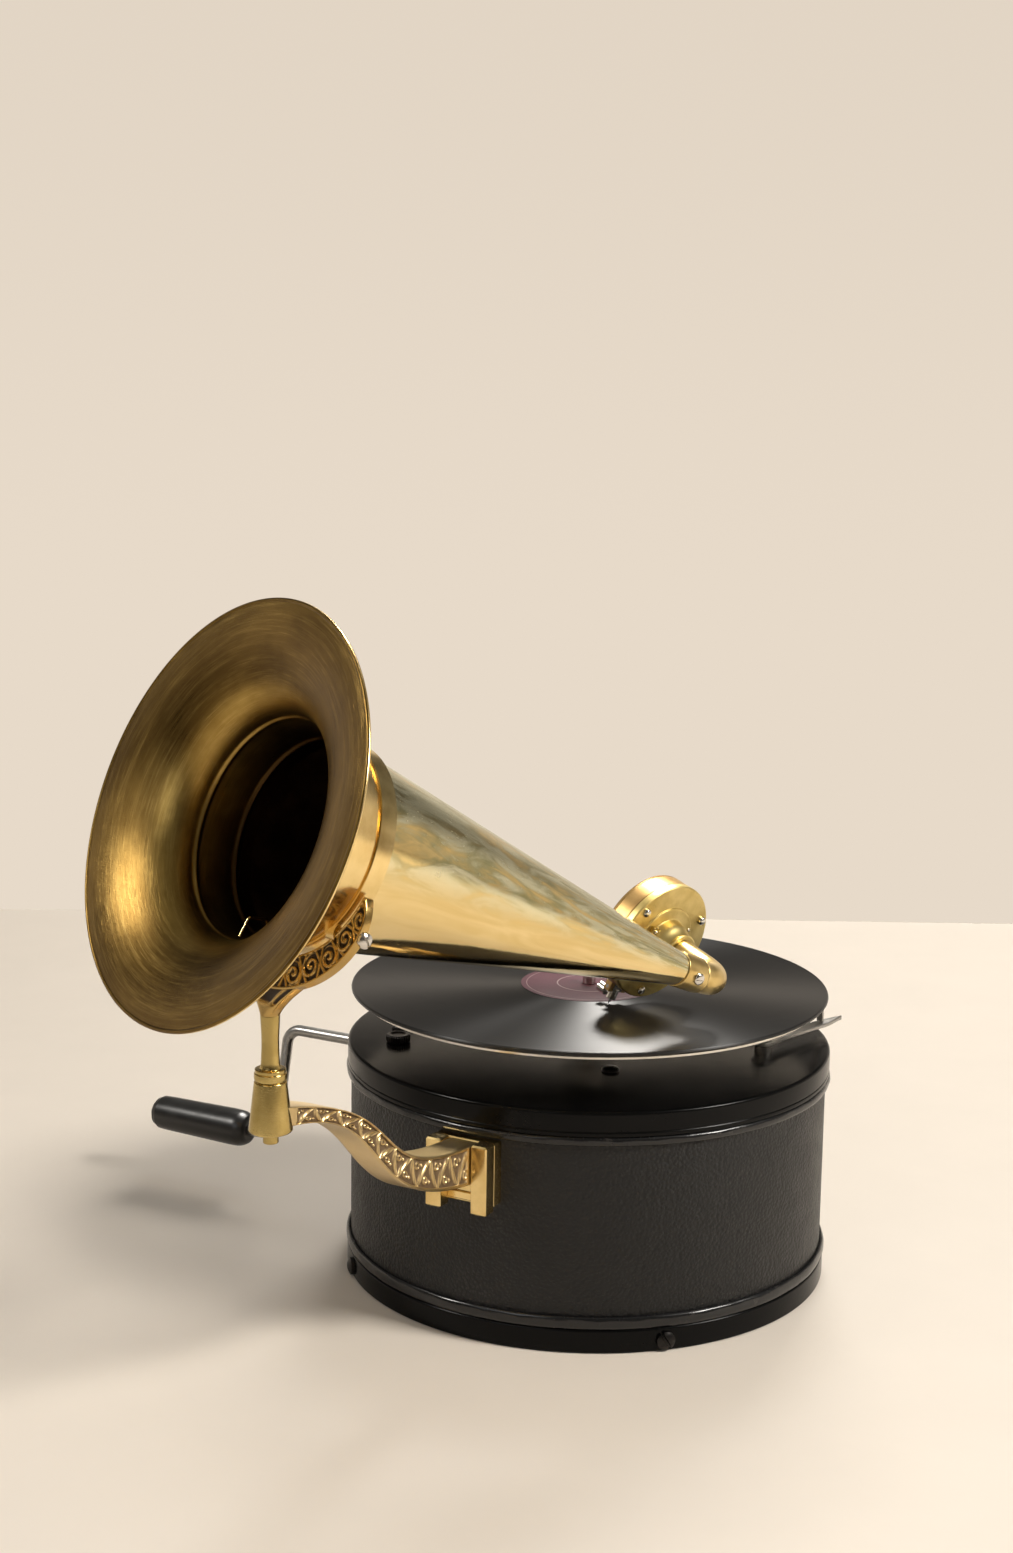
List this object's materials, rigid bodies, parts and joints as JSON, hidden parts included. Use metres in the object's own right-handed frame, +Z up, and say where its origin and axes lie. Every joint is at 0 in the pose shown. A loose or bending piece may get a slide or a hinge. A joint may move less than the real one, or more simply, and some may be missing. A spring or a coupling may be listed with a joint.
{
  "type": "horn_gramophone",
  "caption": "Tabletop horn gramophone: round leatherette case, wind-up spring motor with crank and governor, turntable with record, and a tilting brass horn with soundbox on a cast arm",
  "frame": {"origin": "centre of the case's underside, on the table", "axes": "+Z up; -Y from the case towards the horn's swivel; -X from the case along the crank's shaft"},
  "size_m": [0.4107, 0.4931, 0.3782],
  "materials": {
    "painted_wood": "black stained board",
    "lacquer": "glossy black lacquer",
    "leatherette": "black pebbled leatherette",
    "nickel": "polished nickel",
    "cast_brass": "cast and chased brass with dark recesses",
    "polished_brass": "polished, slightly tarnished brass",
    "bell_brass": "spun brass with a brown patina",
    "soundbox_metal": "turned metal with worn gilding",
    "iron": "dark cast iron",
    "steel": "turned steel",
    "satin_steel": "worn satin steel",
    "dark_steel": "blackened steel",
    "spring_steel": "blued spring steel",
    "needle_steel": "bright steel",
    "bronze": "cut bronze",
    "felt": "thin dark felt",
    "shellac": "black grooved shellac",
    "label_paper": "mauve paper",
    "black_wood": "black satin varnish",
    "brake_leather": "brown leather",
    "mica": "pale mica",
    "rubber": "dark rubber tube"
  },
  "bodies": {
    "case": {"base_plate": "painted_wood", "base_band": "lacquer", "base_screws": "nickel", "case_wall": "leatherette", "case_piping": "lacquer", "lid": "lacquer", "bracket_plate": "cast_brass", "bracket_bolts": "nickel", "horn_arm": "cast_brass", "motor_top_plate": "iron", "motor_bottom_plate": "iron", "motor_pillars": "steel", "motor_bolts": "nickel", "spindle_bush": "bronze", "crank_bush": "nickel", "brake_post": "nickel"},
    "turntable": {"platter": "nickel", "spindle": "nickel", "governor_wheel": "bronze", "turntable_mat": "felt", "record": "shellac", "record_label": "label_paper"},
    "second_arbor": {"second_arbor": "steel", "second_wheel": "bronze"},
    "barrel": {"barrel_drum": "steel", "great_wheel": "bronze", "barrel_cover": "steel", "mainspring": "spring_steel"},
    "winding_arbor": {"barrel_arbor": "steel", "winding_wheel": "steel", "ratchet_wheel": "steel"},
    "click": {"click_pawl": "steel"},
    "crank": {"crank_rod": "satin_steel", "winding_pinion": "steel"},
    "handle": {"crank_handle": "black_wood"},
    "governor": {"governor_shaft": "steel", "governor_springs": "spring_steel", "governor_weights": "bronze"},
    "governor_disc": {"governor_disc": "bronze"},
    "regulator": {"speed_knob": "dark_steel", "regulator_arm": "steel"},
    "brake": {"brake_lever": "nickel", "brake_pad": "brake_leather"},
    "yoke": {"yoke": "cast_brass"},
    "horn": {"horn_bell": "bell_brass", "horn_collar": "cast_brass", "pivot_screws": "nickel", "horn_cone": "polished_brass", "horn_ferrule": "polished_brass", "elbow_screw": "nickel", "elbow": "polished_brass"},
    "soundbox": {"soundbox_back": "soundbox_metal", "soundbox_case": "soundbox_metal", "soundbox_screws": "nickel", "diaphragm": "mica", "gaskets": "rubber"},
    "stylus": {"stylus_bar": "nickel", "needle": "needle_steel", "needle_screw": "nickel"}
  },
  "joints": [
    {"name": "turntable_spin", "type": "hinge", "parent": "case", "child": "turntable", "pos_m": [0, 0, 0.15], "axis": [0, 0, 1], "continuous": true},
    {"name": "second_spin", "type": "hinge", "parent": "case", "child": "second_arbor", "pos_m": [-0.026, 0.03673, 0.077], "axis": [0, 0, 1], "continuous": true},
    {"name": "barrel_spin", "type": "hinge", "parent": "case", "child": "barrel", "pos_m": [-0.052, 0, 0.0505], "axis": [0, 0, 1], "continuous": true},
    {"name": "governor_spin", "type": "hinge", "parent": "case", "child": "governor", "pos_m": [0, -0.039, 0.1], "axis": [0, 0, 1], "continuous": true},
    {"name": "governor_disc_slide", "type": "slide", "parent": "governor", "child": "governor_disc", "axis": [0, 0, 1], "range_m": [0, 0.003], "deforming": ["governor_springs"]},
    {"name": "crank_turn", "type": "hinge", "parent": "case", "child": "crank", "pos_m": [-0.1945, 0, 0.097], "axis": [-1, 0, 0], "continuous": true},
    {"name": "winding_spin", "type": "hinge", "parent": "case", "child": "winding_arbor", "pos_m": [-0.052, 0, 0.097], "axis": [0, 0, 1], "continuous": true},
    {"name": "handle_spin", "type": "hinge", "parent": "crank", "child": "handle", "pos_m": [-0.213, -0.01383, 0.03615], "axis": [-1, 0, 0], "continuous": true},
    {"name": "click_lift", "type": "hinge", "parent": "case", "child": "click", "pos_m": [-0.06885, -0.022, 0.0345], "axis": [0, 0, 1], "range_deg": [0, 12]},
    {"name": "regulator_turn", "type": "hinge", "parent": "case", "child": "regulator", "pos_m": [-0.08099, -0.06298, 0.123], "axis": [0, 0, 1], "range_deg": [-8, 8]},
    {"name": "brake_swing", "type": "hinge", "parent": "case", "child": "brake", "pos_m": [0.092, 0.022, 0.127], "axis": [0, 0, 1], "range_deg": [-20, 3.5]},
    {"name": "horn_swing", "type": "hinge", "parent": "case", "child": "yoke", "pos_m": [0, -0.295, 0.156], "axis": [0, 0, 1], "range_deg": [-28, 2]},
    {"name": "horn_tilt", "type": "hinge", "parent": "yoke", "child": "horn", "pos_m": [0.00391, -0.28482, 0.2461], "axis": [0.9335, -0.3587, 0], "range_deg": [0, 15]},
    {"name": "soundbox_turn", "type": "hinge", "parent": "horn", "child": "soundbox", "pos_m": [0.05599, -0.03021, 0.18832], "axis": [-0.9042, 0.3113, 0.2924], "range_deg": [0, 110]},
    {"name": "stylus_rock", "type": "hinge", "parent": "soundbox", "child": "stylus", "pos_m": [0.03059, -0.03069, 0.16157], "axis": [-0.2429, -0.9379, 0.2475], "range_deg": [-0.5, 0.5]}
  ],
  "couplings": [
    {"joint": "second_spin", "follows": "turntable_spin", "ratio": -0.25},
    {"joint": "barrel_spin", "follows": "turntable_spin", "ratio": 0.0625},
    {"joint": "governor_spin", "follows": "turntable_spin", "ratio": -3.3333},
    {"joint": "winding_spin", "follows": "crank_turn", "ratio": 0.66667}
  ]
}
